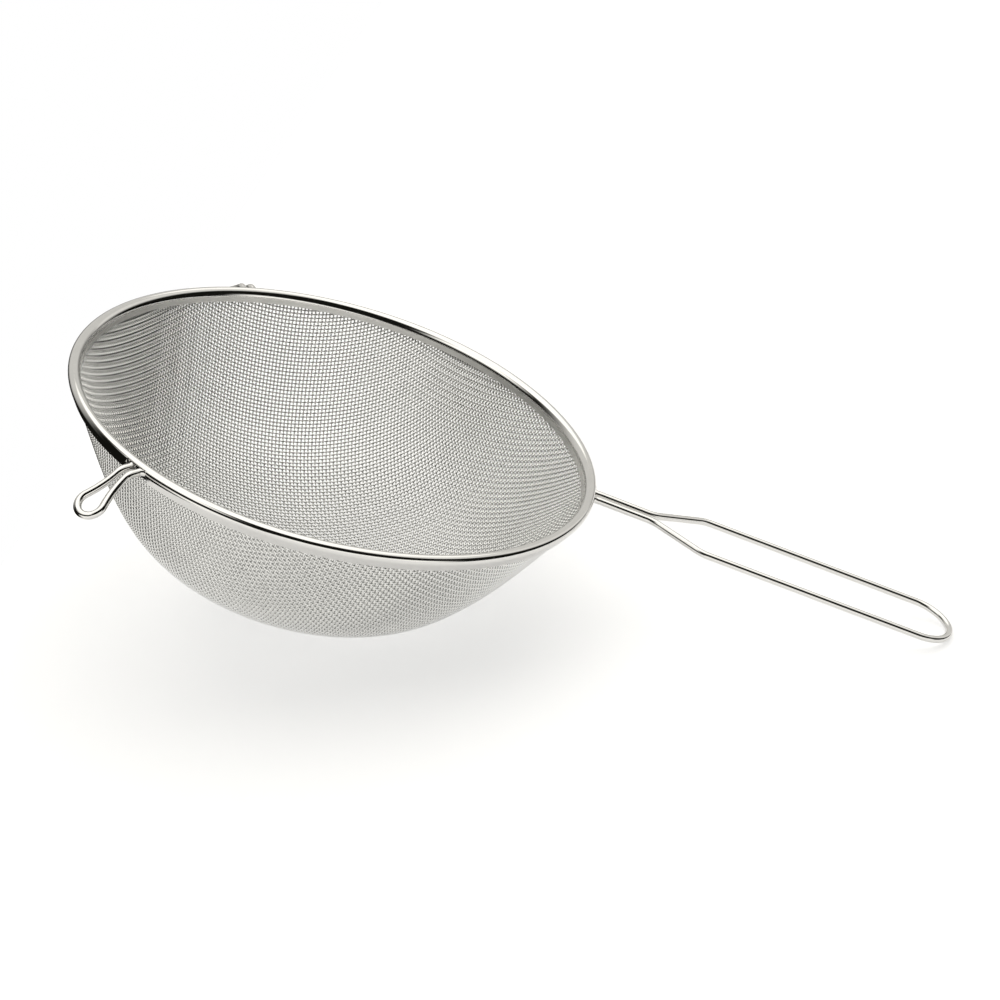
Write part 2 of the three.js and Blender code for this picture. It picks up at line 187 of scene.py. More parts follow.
class NodeSheet:
    """The node tree of one material or world."""

    # A Mix node has sockets for numbers, vectors and colours. These are the colour ones.
    MIX_SHARE, MIX_FIRST, MIX_SECOND, MIX_RESULT = 0, 6, 7, 2

    def __init__(self, owner):
        owner.use_nodes = True
        self.tree = owner.node_tree
        self.tree.nodes.clear()

    def node(self, kind, settings=None, sockets=None, output=0):
        """Adds a node, sets it up, feeds its sockets and returns one of its outputs."""
        made = self.tree.nodes.new(kind)
        for name, setting in (settings or {}).items():
            setattr(made, name, setting)
        for name, given in (sockets or {}).items():
            if isinstance(given, Value):
                self.tree.links.new(given.socket, made.inputs[name])
            else:
                made.inputs[name].default_value = given
        return Value(self, made.outputs[output]) if len(made.outputs) else None

    def maths(self, operation, first, second):
        return self.node("ShaderNodeMath", {"operation": operation}, {0: first, 1: second})

    def attribute(self, name, output):
        """A value that the mesh keeps for each of its vertices."""
        return self.node("ShaderNodeAttribute", {"attribute_name": name}, {}, output)

    def noise(self, vector, scale, detail):
        return self.node("ShaderNodeTexNoise", {},
                         {"Vector": vector, "Scale": scale, "Detail": detail})

    def smooth(self, amount, low, high):
        """0 below low, 1 above high and a soft step between them."""
        return self.node("ShaderNodeMapRange", {"interpolation_type": "SMOOTHSTEP"},
                         {"Value": amount, "From Min": low, "From Max": high})

    def blend(self, share, first, second):
        """A mix of two colours."""
        return self.node("ShaderNodeMix", {"data_type": "RGBA"},
                         {self.MIX_SHARE: share, self.MIX_FIRST: first, self.MIX_SECOND: second},
                         self.MIX_RESULT)


WHITE = (1.0, 1.0, 1.0, 1.0)
BLACK = (0.0, 0.0, 0.0, 1.0)
# A noise swings about this value.
NOISE_MIDDLE = 0.5
# What polishing marks, patches and a satin finish add to the roughness of the band and the wires.
MARK_ROUGHNESS = 0.06
PATCH_ROUGHNESS = 0.05
SATIN_ROUGHNESS = 0.22
PATCH_DARK, PATCH_LIGHT = 0.95, 1.04
MARK_DETAIL, PATCH_DETAIL = 4.0, 3.0
MARK_STRENGTH = 0.06
MARK_DEPTH = 0.02 * MM


def colour(shade, gain=1.0):
    return (*(min(1.0, channel * gain) for channel in shade), 1.0)


def steel(name, shade, roughness, streak, grain):
    """Bright steel with polishing marks along the piece's lay attribute, duller where satin."""
    material = bpy.data.materials.new(name)
    sheet = NodeSheet(material)
    marks = sheet.noise(sheet.attribute("lay", "Vector"), streak, MARK_DETAIL)
    spot = sheet.node("ShaderNodeTexCoord", {}, {}, "Object")
    patch = sheet.noise(spot, grain, PATCH_DETAIL)
    uneven = (roughness + MARK_ROUGHNESS * (marks - NOISE_MIDDLE)
              + PATCH_ROUGHNESS * (patch - NOISE_MIDDLE))
    bump = sheet.node("ShaderNodeBump", {}, {
        "Strength": MARK_STRENGTH, "Distance": MARK_DEPTH, "Height": marks})
    shader = sheet.node("ShaderNodeBsdfPrincipled", {}, {
        "Base Color": sheet.blend(patch, colour(shade, PATCH_DARK), colour(shade, PATCH_LIGHT)),
        "Metallic": 1.0,
        "Roughness": uneven + SATIN_ROUGHNESS * sheet.attribute("satin", "Fac"),
        "Normal": bump,
    })
    sheet.node("ShaderNodeOutputMaterial", {}, {"Surface": shader})
    return material


# Along the rim, the pull fades out each way at a right angle divided by this.
PULL_SPREAD = 1.35
# Across the rim, it starts at this share of the ring's radius, is whole from a little inside the
# ring to a little outside it, and ends where the handle's neck does.
PULL_START = 0.75
PULL_WHOLE_INSIDE = 3 * MM
PULL_WHOLE_OUTSIDE = 4 * MM
PULL_END = 25 * MM


def vertex_spots(mesh):
    """The places of a mesh's vertices, one in each row."""
    spots = np.empty(3 * len(mesh.vertices), dtype=np.float32)
    mesh.vertices.foreach_get("co", spots)
    return spots.reshape(-1, 3)


def draw_out(mesh, band):
    """Draws the rim, and what it holds, a little out of round beside the handle."""
    spots = vertex_spots(mesh)
    reach = np.hypot(spots[:, 0], spots[:, 1])
    swing = np.arctan2(spots[:, 1], spots[:, 0]) - band.pull_bearing
    beside = np.cos(np.clip(PULL_SPREAD * swing, -math.pi / 2, math.pi / 2)) ** 2
    rim = band.ring_radius
    zones = [PULL_START * rim, rim - PULL_WHOLE_INSIDE, rim + PULL_WHOLE_OUTSIDE, rim + PULL_END]
    near = np.interp(reach, zones, [0.0, 1.0, 1.0, 0.0])
    spots[:, :2] *= (1 + band.pull * beside * near / np.maximum(reach, MM))[:, None]
    mesh.vertices.foreach_set("co", spots.ravel())


def place(settings):
    """The move from the level drawing to the rest on a table."""
    return Matrix.Translation(settings.rim_centre) @ Matrix.Rotation(settings.tilt, 4, "Y")


def set_out(context, name, mesh, material, node):
    """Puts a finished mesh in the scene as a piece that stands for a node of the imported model."""
    draw_out(mesh, context.scene.sieve_band)
    mesh.transform(place(context.scene.sieve_rest))
    mesh.materials.clear()
    mesh.materials.append(material)
    piece = bpy.data.objects.new(name, mesh)
    context.scene.collection.objects.link(piece)
    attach(piece, "root")
    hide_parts(node)


# Places closer than this are one place.
SAME_PLACE = 1e-6
# Edges that turn by more than this stay sharp.
SHARP_ANGLE = math.radians(40)
# Steps of the band and of the hem round the rim.
RING_STEPS = 216


def smooth_mesh(name, shape):
    """Closes a bmesh into a mesh that is smooth but for its sharp edges."""
    bmesh.ops.remove_doubles(shape, verts=shape.verts, dist=SAME_PLACE)
    bmesh.ops.recalc_face_normals(shape, faces=shape.faces)
    open_edges = [edge for edge in shape.edges if not edge.is_manifold]
    if open_edges:
        raise RuntimeError(f"{name} has {len(open_edges)} open edges")
    for face in shape.faces:
        face.smooth = True
    for edge in shape.edges:
        edge.smooth = edge.calc_face_angle(0.0) < SHARP_ANGLE
    mesh = bpy.data.meshes.new(name)
    shape.to_mesh(mesh)
    shape.free()
    return mesh


def spin_round(shape):
    """Turns a section once about the bowl's axis."""
    bmesh.ops.spin(shape, geom=[*shape.verts, *shape.edges], cent=(0, 0, 0), axis=(0, 0, 1),
                   angle=2 * math.pi, steps=RING_STEPS, use_merge=True)


def only_verts(geometry):
    """The vertices in what a bmesh operator returns."""
    return [item for item in geometry if isinstance(item, bmesh.types.BMVert)]


def once(items):
    """The items in their order, without repeats."""
    return list(dict.fromkeys(items))


WIRE_SIDES = 24
# Largest angles of one step of a bend: small bends, the handle's round end, and wide bends.
BEND_STEP = math.radians(7.5)
TIP_STEP = math.radians(5)
WIDE_STEP = math.radians(4)


class BentWire:
    """A round wire drawn the way it is bent: straight runs and arcs, one after the other."""

    def __init__(self, shape, radius, start, heading, up):
        self.shape = shape
        self.lay = shape.verts.layers.float_vector["lay"]
        self.at = Vector(start)
        self.heading = Vector(heading).normalized()
        self.drawn = 0.0
        across = Vector(up).cross(self.heading).normalized()
        self.ring = bmesh.ops.create_circle(shape, segments=WIRE_SIDES, radius=radius)["verts"]
        axes = Matrix((across, self.heading.cross(across), self.heading)).transposed().to_4x4()
        bmesh.ops.transform(shape, matrix=Matrix.Translation(self.at) @ axes, verts=self.ring)
        for k, vert in enumerate(self.ring):
            angle = 2 * math.pi * k / WIRE_SIDES
            vert[self.lay] = (math.cos(angle), math.sin(angle), 0.0)

    def edges(self):
        """The edges of the ring at the wire's end."""
        ring = set(self.ring)
        touching = once(edge for vert in self.ring for edge in vert.link_edges)
        return [edge for edge in touching if set(edge.verts) <= ring]

    def take(self, geometry, grown):
        """Makes the far ring of a grown stretch the wire's new end."""
        self.drawn += grown
        self.ring = only_verts(geometry)
        middle = sum((vert.co for vert in self.ring), Vector()) / len(self.ring)
        if (middle - self.at).length > SAME_PLACE or len(self.ring) != WIRE_SIDES:
            raise RuntimeError("the wire's end isn't where its bends put it")
        for vert in self.ring:
            vert[self.lay] = (*vert[self.lay].xy, self.drawn)

    def run(self, distance):
        """A straight run."""
        made = bmesh.ops.extrude_edge_only(self.shape, edges=self.edges())["geom"]
        verts = only_verts(made)
        bmesh.ops.translate(self.shape, verts=verts, vec=self.heading * distance)
        self.at += self.heading * distance
        self.take(verts, distance)

    def bend(self, axis, radius, angle, rise=0.0, step=BEND_STEP):
        """An arc to the left of the heading, seen from the axis' tip."""
        axis = Vector(axis).normalized()
        count = max(2, math.ceil(angle / step))
        centre = self.at + axis.cross(self.heading) * radius
        swing = Matrix.Rotation(angle / count, 3, axis)
        lift = Vector((0.0, 0.0, rise / count))
        for _ in range(count):
            made = bmesh.ops.spin(self.shape, geom=self.ring + self.edges(), cent=centre,
                                  axis=axis, angle=angle / count, dvec=lift, steps=1,
                                  use_duplicate=False)
            self.at = centre + swing @ (self.at - centre) + lift
            self.heading = swing @ self.heading
            centre = centre + lift
            self.take(made["geom_last"], radius * angle / count)

    def close(self):
        """The cut end."""
        bmesh.ops.contextual_create(self.shape, geom=self.edges())


def foot_and_tail(wire, side, half, band, sizes, tail_end):
    """The turn from a leg into the bead, and the tail in the bead up to an angle from the legs."""
    reach = band.ring_radius + sizes.foot_radius
    aside = half + sizes.foot_radius
    foot_angle = math.asin(aside / reach)
    swing = math.pi / 2 - foot_angle
    wire.bend((0, 0, -side), sizes.foot_radius, swing, sizes.leg_drop)
    tail = tail_end - foot_angle - 0.5 * sizes.butt_gap / band.ring_radius
    wire.bend((0, 0, side), band.ring_radius, tail, step=WIDE_STEP)
    wire.close()


def foot_reach(half, band, sizes):
    """Distance from the rim's centre to where a leg's foot bend starts."""
    return math.sqrt((band.ring_radius + sizes.foot_radius) ** 2
                     - (half + sizes.foot_radius) ** 2)


def sloped(angle):
    """The way that slopes down from +X by an angle, and the way straight up from it."""
    return (Vector((math.cos(angle), 0.0, -math.sin(angle))),
            Vector((math.sin(angle), 0.0, math.cos(angle))))


def wire_shape():
    """An empty bmesh that keeps the lay of a wire's polishing marks."""
    shape = bmesh.new()
    shape.verts.layers.float_vector.new("lay")
    return shape


WIRE_FINISH = "Polished wire"
# The slight bend where the handle's neck starts to droop, and its distance from the foot bends.
KINK_RADIUS = 15.0 * MM
KINK_RUN = 1.0 * MM


class SIEVE_OT_handle(bpy.types.Operator):
    """Bends the handle: a long loop whose two legs close up to a neck and end inside the bead"""

    bl_idname = "sieve.handle_wire"
    bl_label = "Handle Wire"

    def execute(self, context):
        band = context.scene.sieve_band
        sizes = context.scene.sieve_wires
        slope, over = sloped(sizes.droop)
        along = 1.0 / math.cos(sizes.droop)
        kink = foot_reach(sizes.neck_half, band, sizes) + KINK_RUN
        kink_tangent = KINK_RADIUS * math.tan(sizes.droop / 2)
        tip = Vector((kink, 0.0, -sizes.leg_drop)) + slope * (sizes.tip_reach - kink) * along
        grip = (sizes.tip_reach - sizes.grip_half - sizes.neck_end - sizes.spread) * along
        neck = (sizes.neck_end - kink) * along - kink_tangent
        lean, diagonal = self.spread_run(sizes)
        shape = wire_shape()
        for side in (1, -1):
            wire = BentWire(shape, sizes.radius, tip, (0, side, 0), over)
            wire.bend(over * side, sizes.grip_half, math.pi / 2, step=TIP_STEP)
            wire.run(grip)
            wire.bend(over * side, sizes.spread_bend, lean)
            wire.run(diagonal)
            wire.bend(-over * side, sizes.spread_bend, lean)
            wire.run(neck)
            wire.bend((0, -1, 0), KINK_RADIUS, sizes.droop)
            wire.run(KINK_RUN - kink_tangent)
            foot_and_tail(wire, side, sizes.neck_half, band, sizes, sizes.butt_angle)
        mesh = smooth_mesh("handle_wire", shape)
        finish = steel(WIRE_FINISH, context.scene.sieve_finish.wire, roughness=0.11, streak=2.2,
                       grain=260.0)
        set_out(context, "bent_handle", mesh, finish, "handle_wire")
        return {"FINISHED"}

    @staticmethod
    def spread_run(sizes):
        """Angle and length of the straight run between the two bends where the legs spread."""
        bends = 2 * sizes.spread_bend
        rise = sizes.grip_half - sizes.neck_half - bends
        between = math.hypot(sizes.spread, rise)
        lean = math.atan2(rise, sizes.spread) + math.asin(bends / between)
        return lean, math.sqrt(between ** 2 - bends ** 2)


class SIEVE_OT_hooks(bpy.types.Operator):
    """Bends the two rest hooks: keyhole loops that leave the rim level and then bend down"""

    bl_idname = "sieve.rest_hooks"
    bl_label = "Rest Hooks"

    def execute(self, context):
        band = context.scene.sieve_band
        sizes = context.scene.sieve_wires
        down = sizes.hook_bend
        slope, over = sloped(down)
        flare_end = sizes.hook_neck_half + sizes.flare_radius
        flare_start = sizes.eye_reach - math.sqrt(
            (sizes.eye_radius + sizes.flare_radius) ** 2 - flare_end ** 2)
        join = math.atan2(flare_end, sizes.eye_reach - flare_start)
        bend_end = sizes.level_reach + sizes.hook_bend_radius * down
        bent = Vector((sizes.level_reach + sizes.hook_bend_radius * math.sin(down), 0.0,
                       -sizes.leg_drop - sizes.hook_bend_radius * (1 - math.cos(down))))
        start = Vector((band.ring_radius, 0.0, 0.0)) + bent
        start += slope * (sizes.eye_reach + sizes.eye_radius - bend_end)
        foot = foot_reach(sizes.hook_neck_half, band, sizes)
        level = band.ring_radius + sizes.level_reach - foot
        finish = bpy.data.materials[WIRE_FINISH]
        for name, way, angle in (("front_hook", -1, sizes.front_angle),
                                 ("rear_hook", 1, sizes.rear_angle)):
            to_back = math.pi - angle
            to_handle = angle - sizes.butt_angle
            shape = wire_shape()
            for side in (1, -1):
                wire = BentWire(shape, sizes.radius, start, (0, side, 0), over)
                wire.bend(over * side, sizes.eye_radius, math.pi - join)
                wire.bend(-over * side, sizes.flare_radius, math.pi / 2 - join, step=WIDE_STEP)
                wire.run(flare_start - bend_end)
                wire.bend((0, -1, 0), sizes.hook_bend_radius, down)
                wire.run(level)
                tail_end = to_back if side == way else to_handle
                foot_and_tail(wire, side, sizes.hook_neck_half, band, sizes, tail_end)
            bmesh.ops.rotate(shape, cent=(0, 0, 0), verts=shape.verts,
                             matrix=Matrix.Rotation(way * angle, 3, "Z"))
            mesh = smooth_mesh(name, shape)
            set_out(context, "bent_" + name, mesh, finish, name)
        return {"FINISHED"}


def in_section(band, across, along):
    """A place in the band's section: outwards across it and down along it from the bead."""
    return Vector((
        band.ring_radius + across * math.cos(band.lean) - along * math.sin(band.lean),
        0.0,
        -across * math.sin(band.lean) - along * math.cos(band.lean)))


# A notch cuts what lies outside the ring, less this much.
NOTCH_DEPTH = 0.3 * MM
# Faces this far beside a notch are split by its sides too.
NOTCH_MARGIN = 4 * MM
NOTCH_SNAP = 1e-7


def cut_notch(shape, angle, band):
    """Cuts the outer leg and the outer half of the bead away at one place of the rim."""
    out = Vector((math.cos(angle), math.sin(angle), 0.0))
    aside = Vector((-math.sin(angle), math.cos(angle), 0.0))
    up = Vector((0.0, 0.0, 1.0))

    def near(margin):
        for face in shape.faces:
            middle = face.calc_center_median()
            outside = middle.xy.length > band.ring_radius - NOTCH_DEPTH
            beside = abs(middle.dot(aside)) < band.notch_half + margin
            if outside and beside and middle.dot(out) > 0:
                yield face

    for point, normal in ((aside * band.notch_half, aside), (-aside * band.notch_half, aside),
                          (up * band.notch_top, up)):
        faces = list(near(NOTCH_MARGIN))
        edges = once(edge for face in faces for edge in face.edges)
        verts = once(vert for face in faces for vert in face.verts)
        bmesh.ops.bisect_plane(shape, geom=[*faces, *edges, *verts], dist=NOTCH_SNAP,
                               plane_co=point, plane_no=normal)
    waste = [face for face in near(0.0) if face.calc_center_median().z < band.notch_top]
    bmesh.ops.delete(shape, geom=waste, context="FACES")


FOLD_STEPS = 24
SHOULDER_STEPS = 8
# The pressed edge where the shoulder meets the inner leg.
KNEE_BEVEL = 0.35 * MM
KNEE_SEGMENTS = 3
# Once round the rim, the polishing marks' noise goes once round a circle of this radius.
LAY_RADIUS = 0.4


class SIEVE_OT_band(bpy.types.Operator):
    """Rolls the rim band: a strip folded into a bead and two legs, with three gaps outside"""

    bl_idname = "sieve.rim_band"
    bl_label = "Rim Band"

    def execute(self, context):
        band = context.scene.sieve_band
        wires = context.scene.sieve_wires
        shape = bmesh.new()
        knee_height = self.fold_strip(shape, band)
        spin_round(shape)
        bmesh.ops.remove_doubles(shape, verts=shape.verts, dist=SAME_PLACE)
        bmesh.ops.recalc_face_normals(shape, faces=shape.faces)
        for angle in (0.0, wires.rear_angle, -wires.front_angle):
            cut_notch(shape, angle, band)
        top = max(shape.faces, key=lambda face: face.calc_center_median().z)
        if top.normal.z < 0:
            bmesh.ops.reverse_faces(shape, faces=shape.faces)
        bmesh.ops.solidify(shape, geom=shape.faces, thickness=band.thickness)
        self.mark_polish(shape, band, knee_height)
        mesh = smooth_mesh("rim_band", shape)
        finish = steel("Polished band", context.scene.sieve_finish.band, roughness=0.1,
                       streak=1.6, grain=220.0)
        set_out(context, "folded_band", mesh, finish, "rim_band")
        return {"FINISHED"}

    def fold_strip(self, shape, band):
        """Draws the outside of the folded section, and returns the height of its pressed edge."""
        ring = band.ring_radius
        half = 0.5 * band.mouth
        outer_turn = (math.atan2(band.outer_leg, half)
                      - math.acos(band.bead_radius / math.hypot(half, band.outer_leg))
                      + band.lean)
        foot = shape.verts.new(in_section(band, half, band.outer_leg))
        fold = shape.verts.new((ring + band.bead_radius * math.cos(outer_turn), 0.0,
                                -band.bead_radius * math.sin(outer_turn)))
        shape.edges.new((foot, fold))
        shoulder = self.roll(shape, fold, (ring, 0, 0),
                             math.pi + outer_turn - band.shoulder_start, FOLD_STEPS)
        wider = band.shoulder_radius - band.bead_radius
        middle = (ring + wider * math.cos(band.shoulder_start), 0,
                  -wider * math.sin(band.shoulder_start))
        knee = self.roll(shape, shoulder, middle, band.shoulder_start - band.shoulder_end,
                         SHOULDER_STEPS)
        edge = shape.verts.new(in_section(band, -half, band.inner_leg))
        shape.edges.new((knee, edge))
        knee_height = knee.co.z
        bmesh.ops.bevel(shape, geom=[knee], offset=KNEE_BEVEL, segments=KNEE_SEGMENTS,
                        profile=0.5, affect="VERTICES", material=-1)
        return knee_height

    @staticmethod
    def roll(shape, start, middle, angle, steps):
        """Rolls the strip on from one point of its section and returns the arc's last point."""
        rolled = bmesh.ops.spin(shape, geom=[start], cent=middle, axis=(0, -1, 0), angle=angle,
                                steps=steps)
        return only_verts(rolled["geom_last"])[0]

    @staticmethod
    def mark_polish(shape, band, knee_height):
        """Lays the polishing marks along the rim, and makes the inner leg satin."""
        lay = shape.verts.layers.float_vector.new("lay")
        satin = shape.verts.layers.float.new("satin")
        for vert in shape.verts:
            radius = vert.co.xy.length
            bearing = math.atan2(vert.co.y, vert.co.x)
            vert[lay] = (LAY_RADIUS * math.cos(bearing), LAY_RADIUS * math.sin(bearing),
                         (radius - vert.co.z) / MM)
            inner_leg = radius < band.ring_radius and vert.co.z < knee_height
            vert[satin] = 1.0 if inner_leg else 0.0


BOTTOM_POINTS = 200
WALL_POINTS = 300
# The outline goes on upright to here, so that crossings past the rim can be worked out.
UPRIGHT_TOP = 400 * MM
# Keeps a division by the arc length safe at the lowest point.
TINY = 1e-12


class BowlForm:
    """The middle surface of the cloth, by arc length from the lowest point."""

    def __init__(self, band, cloth):
        join = cloth.bottom_angle
        swing = np.linspace(0.0, join, BOTTOM_POINTS)
        bottom = np.column_stack([cloth.bottom_radius * np.sin(swing),
                                  cloth.bottom_radius * (1 - np.cos(swing)) - cloth.depth])
        lean = cloth.wall_lean
        first = bottom[-1]
        last = np.array(in_section(band, 0.0, cloth.wall_top).xz)
        second = first + cloth.bottom_pull * np.array([math.cos(join), math.sin(join)])
        third = last - cloth.wall_pull * np.array([math.sin(lean), math.cos(lean)])
        t = np.linspace(0.0, 1.0, WALL_POINTS)[1:, None]
        wall = ((1 - t) ** 3 * first + 3 * t * (1 - t) ** 2 * second
                + 3 * t ** 2 * (1 - t) * third + t ** 3 * last)
        end = np.array(in_section(band, 0.0, cloth.cloth_top).xz)
        outline = np.vstack([bottom, wall, [end, [end[0], UPRIGHT_TOP]]])
        steps = np.hypot(*np.diff(outline, axis=0).T)
        self.arc = np.concatenate([[0.0], np.cumsum(steps)])
        self.radius, self.height = outline.T
        self.reach = self.arc[-2]
        tangent = np.gradient(outline, self.arc, axis=0)
        self.tangent = tangent / np.hypot(*tangent.T)[:, None]

    def points(self, flat):
        """Places on the bowl of flat coordinates whose distance from 0 is the arc length."""
        arc = np.hypot(flat[..., 0], flat[..., 1])
        scale = np.interp(arc, self.arc, self.radius) / np.maximum(arc, TINY)
        height = np.interp(arc, self.arc, self.height)
        return np.stack([flat[..., 0] * scale, flat[..., 1] * scale, height], axis=-1)

    def normals(self, flat):
        """Outward directions at the same coordinates."""
        arc = np.hypot(flat[..., 0], flat[..., 1])
        bearing = flat / np.maximum(arc, TINY)[..., None]
        outward = np.interp(arc, self.arc, self.tangent[:, 1])[..., None] * bearing
        upward = -np.interp(arc, self.arc, self.tangent[:, 0])[..., None]
        return np.concatenate([outward, upward], axis=-1)

    def offsets(self, spots):
        """Distances of places near the cloth from its middle surface."""
        reach = np.hypot(spots[:, 0], spots[:, 1])
        rise = spots[:, 2] - np.interp(reach, self.radius, self.height)
        return np.abs(rise * np.interp(reach, self.radius, self.tangent[:, 0]))


# Solving for the crossings of the cloth: rounds, trial move, and largest move by the pitch.
NET_ROUNDS = 8
NET_NUDGE = 1e-7
NET_MOVE = 0.5
# Two directions count as parallel when their cross product is smaller.
NET_PARALLEL = 1e-6


def net_misses(form, flat, anchors, pitch):
    """How much further than one pitch the crossings lie from each of two earlier ones."""
    spots = form.points(flat)
    gaps = [np.linalg.norm(spots - anchor, axis=-1) - pitch for anchor in anchors]
    return np.stack(gaps, axis=-1)


def settle_crossings(form, guess, anchors, pitch):
    """Moves guessed crossings until each lies one pitch from its two anchors."""
    for _ in range(NET_ROUNDS):
        miss = net_misses(form, guess, anchors, pitch)
        across, along = ((net_misses(form, guess + NET_NUDGE * unit, anchors, pitch) - miss)
                         / NET_NUDGE for unit in np.eye(2))
        spread = across[:, 0] * along[:, 1] - across[:, 1] * along[:, 0]
        spread = np.where(np.abs(spread) < NET_PARALLEL, NET_PARALLEL, spread)
        step = np.stack([along[:, 0] * miss[:, 1] - along[:, 1] * miss[:, 0],
                         across[:, 1] * miss[:, 0] - across[:, 0] * miss[:, 1]], axis=-1)
        guess = guess + np.clip(step / spread[:, None], -NET_MOVE * pitch, NET_MOVE * pitch)
    return guess


def cloth_net(form, pitch):
    """Crossings of the cloth in one quarter of the bowl, as flat coordinates.

    Two wires follow meridians, and every other crossing lies one pitch from its two earlier
    neighbours, as in cloth whose squares only shear. Each diagonal row is solved in one go.
    """
    count = math.ceil(form.reach / pitch) + 2
    net = np.zeros((count, count, 2))
    net[:, 0, 0] = pitch * np.arange(count)
    net[0, :, 1] = pitch * np.arange(count)
    for row in range(2, 2 * count - 1):
        i = np.arange(max(1, row - count + 1), min(count - 1, row - 1) + 1)
        j = row - i
        before, beside = net[i - 1, j], net[i, j - 1]
        anchors = form.points(before), form.points(beside)
        guess = before + beside - net[i - 1, j - 1]
        net[i, j] = settle_crossings(form, guess, anchors, pitch)
    return net


# A wire's bends at a crossing, by the spacing of the crossings, and how far each stands out.
CRIMP_STOPS = np.array([-0.3, 0.0, 0.3])
CRIMP_RISE = np.array([0.8, 1.0, 0.8])
# The last bend stays this far from the wire's end, and the last wire this far from the rim.
END_STRETCH = 0.1
EDGE_STRETCH = 0.4
# A bevel of this resolution gives a wire six sides.
CLOTH_WIRE_ROUNDNESS = 1


def woven_wire(form, lane, number, side, cloth):
    """Points of one cloth wire in the first quarter, from its middle to its end in the band."""
    arc = np.hypot(lane[:, 0], lane[:, 1])
    last = int(np.argmax(arc > form.reach)) - 1
    end = last + (form.reach - arc[last]) / (arc[last + 1] - arc[last])
    crossings = np.arange(last + 2)
    stops = (crossings[:, None] + CRIMP_STOPS).ravel()
    wave = np.outer((-1.0) ** (crossings + number), CRIMP_RISE).ravel()
    drawn = (stops >= 0.0) & (stops < end - END_STRETCH)
    stops = np.append(stops[drawn], end)
    wave = side * np.append(wave[drawn], 0.0)
    steps = np.arange(len(lane))
    flat = np.stack([np.interp(stops, steps, lane[:, axis]) for axis in (0, 1)], axis=-1)
    return form.points(flat) + form.normals(flat) * (wave * cloth.wire_radius)[:, None]


def cloth_family(form, net, side, cloth):
    """All wires that run one way, as rows of points."""
    wires = []
    lanes = int((form.reach - EDGE_STRETCH * cloth.pitch) / cloth.pitch)
    keep = np.array([side, -side, 1.0])
    for number in range(lanes + 1):
        lane = net[number] if side > 0 else net[:, number]
        half = woven_wire(form, lane, number, side, cloth)
        whole = np.vstack([(half * keep)[:0:-1], half])
        wires.append(whole)
        if number > 0:
            wires.insert(0, whole * (keep * np.array([-1.0, -1.0, 1.0])))
    return wires


def share_out(wires, parts):
    """Splits wires into sets of about as many points each, in their order."""
    total = sum(len(points) for points in wires)
    sets = [[] for _ in range(parts)]
    done = 0
    for points in wires:
        sets[min(parts - 1, done * parts // total)].append(points)
        done += len(points)
    return sets


def draw_wires(name, wires, radius):
    """A mesh of round wires along rows of points."""
    curve = bpy.data.curves.new(name, "CURVE")
    curve.dimensions = "3D"
    curve.bevel_depth = radius
    curve.bevel_resolution = CLOTH_WIRE_ROUNDNESS
    curve.use_fill_caps = True
    for points in wires:
        spline = curve.splines.new("POLY")
        spline.points.add(len(points) - 1)
        spline.points.foreach_set("co", np.column_stack([points, np.ones(len(points))]).ravel())
    holder = bpy.data.objects.new(name, curve)
    bpy.context.scene.collection.objects.link(holder)
    seen = holder.evaluated_get(bpy.context.evaluated_depsgraph_get())
    mesh = bpy.data.meshes.new_from_object(seen)
    bpy.data.objects.remove(holder)
    bpy.data.curves.remove(curve)
    mesh.name = name
    return mesh


class SIEVE_OT_cloth(bpy.types.Operator):
    """Weaves the bowl: two families of crimped wires that pass over and under each other"""

    bl_idname = "sieve.wire_cloth"
    bl_label = "Wire Cloth"

    def execute(self, context):
        cloth = context.scene.sieve_cloth
        form = BowlForm(context.scene.sieve_band, cloth)
        net = cloth_net(form, cloth.pitch)
        finish = cloth_steel("Drawn cloth wire", context.scene.sieve_finish.cloth)
        for family, side in (("warp", 1), ("weft", -1)):
            wires = cloth_family(form, net, side, cloth)
            for number, group in enumerate(share_out(wires, cloth.parts), 1):
                name = f"cloth_{family}_{number}"
                mesh = draw_wires(name, group, cloth.wire_radius)
                # The crest values carry the cloth's painted light and shade.
                self.note_painted_crests(mesh, form, cloth)
                mesh.transform(Matrix.Rotation(cloth.lay, 4, "Z"))
                set_out(context, name, mesh, finish, "mesh_bowl")
        self.fold_hem(context, finish)
        return {"FINISHED"}

    @staticmethod
    def note_painted_crests(mesh, form, cloth):
        """Notes how far the wires stand out of the cloth, which sets the painted light on their
        crests and the painted shade between them.
        """
        crest = form.offsets(vertex_spots(mesh)) / (2 * cloth.wire_radius)
        kept = mesh.attributes.new("crest", "FLOAT", "POINT")
        kept.data.foreach_set("value", crest.astype(np.float32))

    @staticmethod
    def fold_hem(context, finish):
        """The folded edge of the cloth that the band grips, drawn as one ring."""
        band = context.scene.sieve_band
        cloth = context.scene.sieve_cloth
        shape = bmesh.new()
        corners = [shape.verts.new(in_section(band, across, along)) for across, along in (
            (cloth.hem_half, cloth.cloth_top), (cloth.hem_half, cloth.hem_end),
            (-cloth.hem_half, cloth.hem_end), (-cloth.hem_half, cloth.cloth_top))]
        for first, second in zip(corners, corners[1:] + corners[:1]):
            shape.edges.new((first, second))
        spin_round(shape)
        mesh = smooth_mesh("cloth_hem", shape)
        # The hem has no crest values, so the cloth's painted valley shade darkens it all over.
        set_out(context, "cloth_hem", mesh, finish, "mesh_bowl")


CLOTH_DETAIL = 2.0
CLOTH_PATCH_SCALE = 90.0
CLOTH_FLECK_SCALE = 2500.0
# Painted light: wires are painted brighter between these distances from the cloth's middle, a
# little more in some patches, and darker below them as painted shade.
CREST_EDGE = (0.15, 0.55)
CREST_LEAST, CREST_PATCH = 0.92, 0.16
PAINTED_VALLEY_SHADE = 0.55
CLOTH_ROUGHNESS = 0.05
CLOTH_FLECK_ROUGHNESS = 0.04
CLOTH_PATCH_ROUGHNESS = 0.03


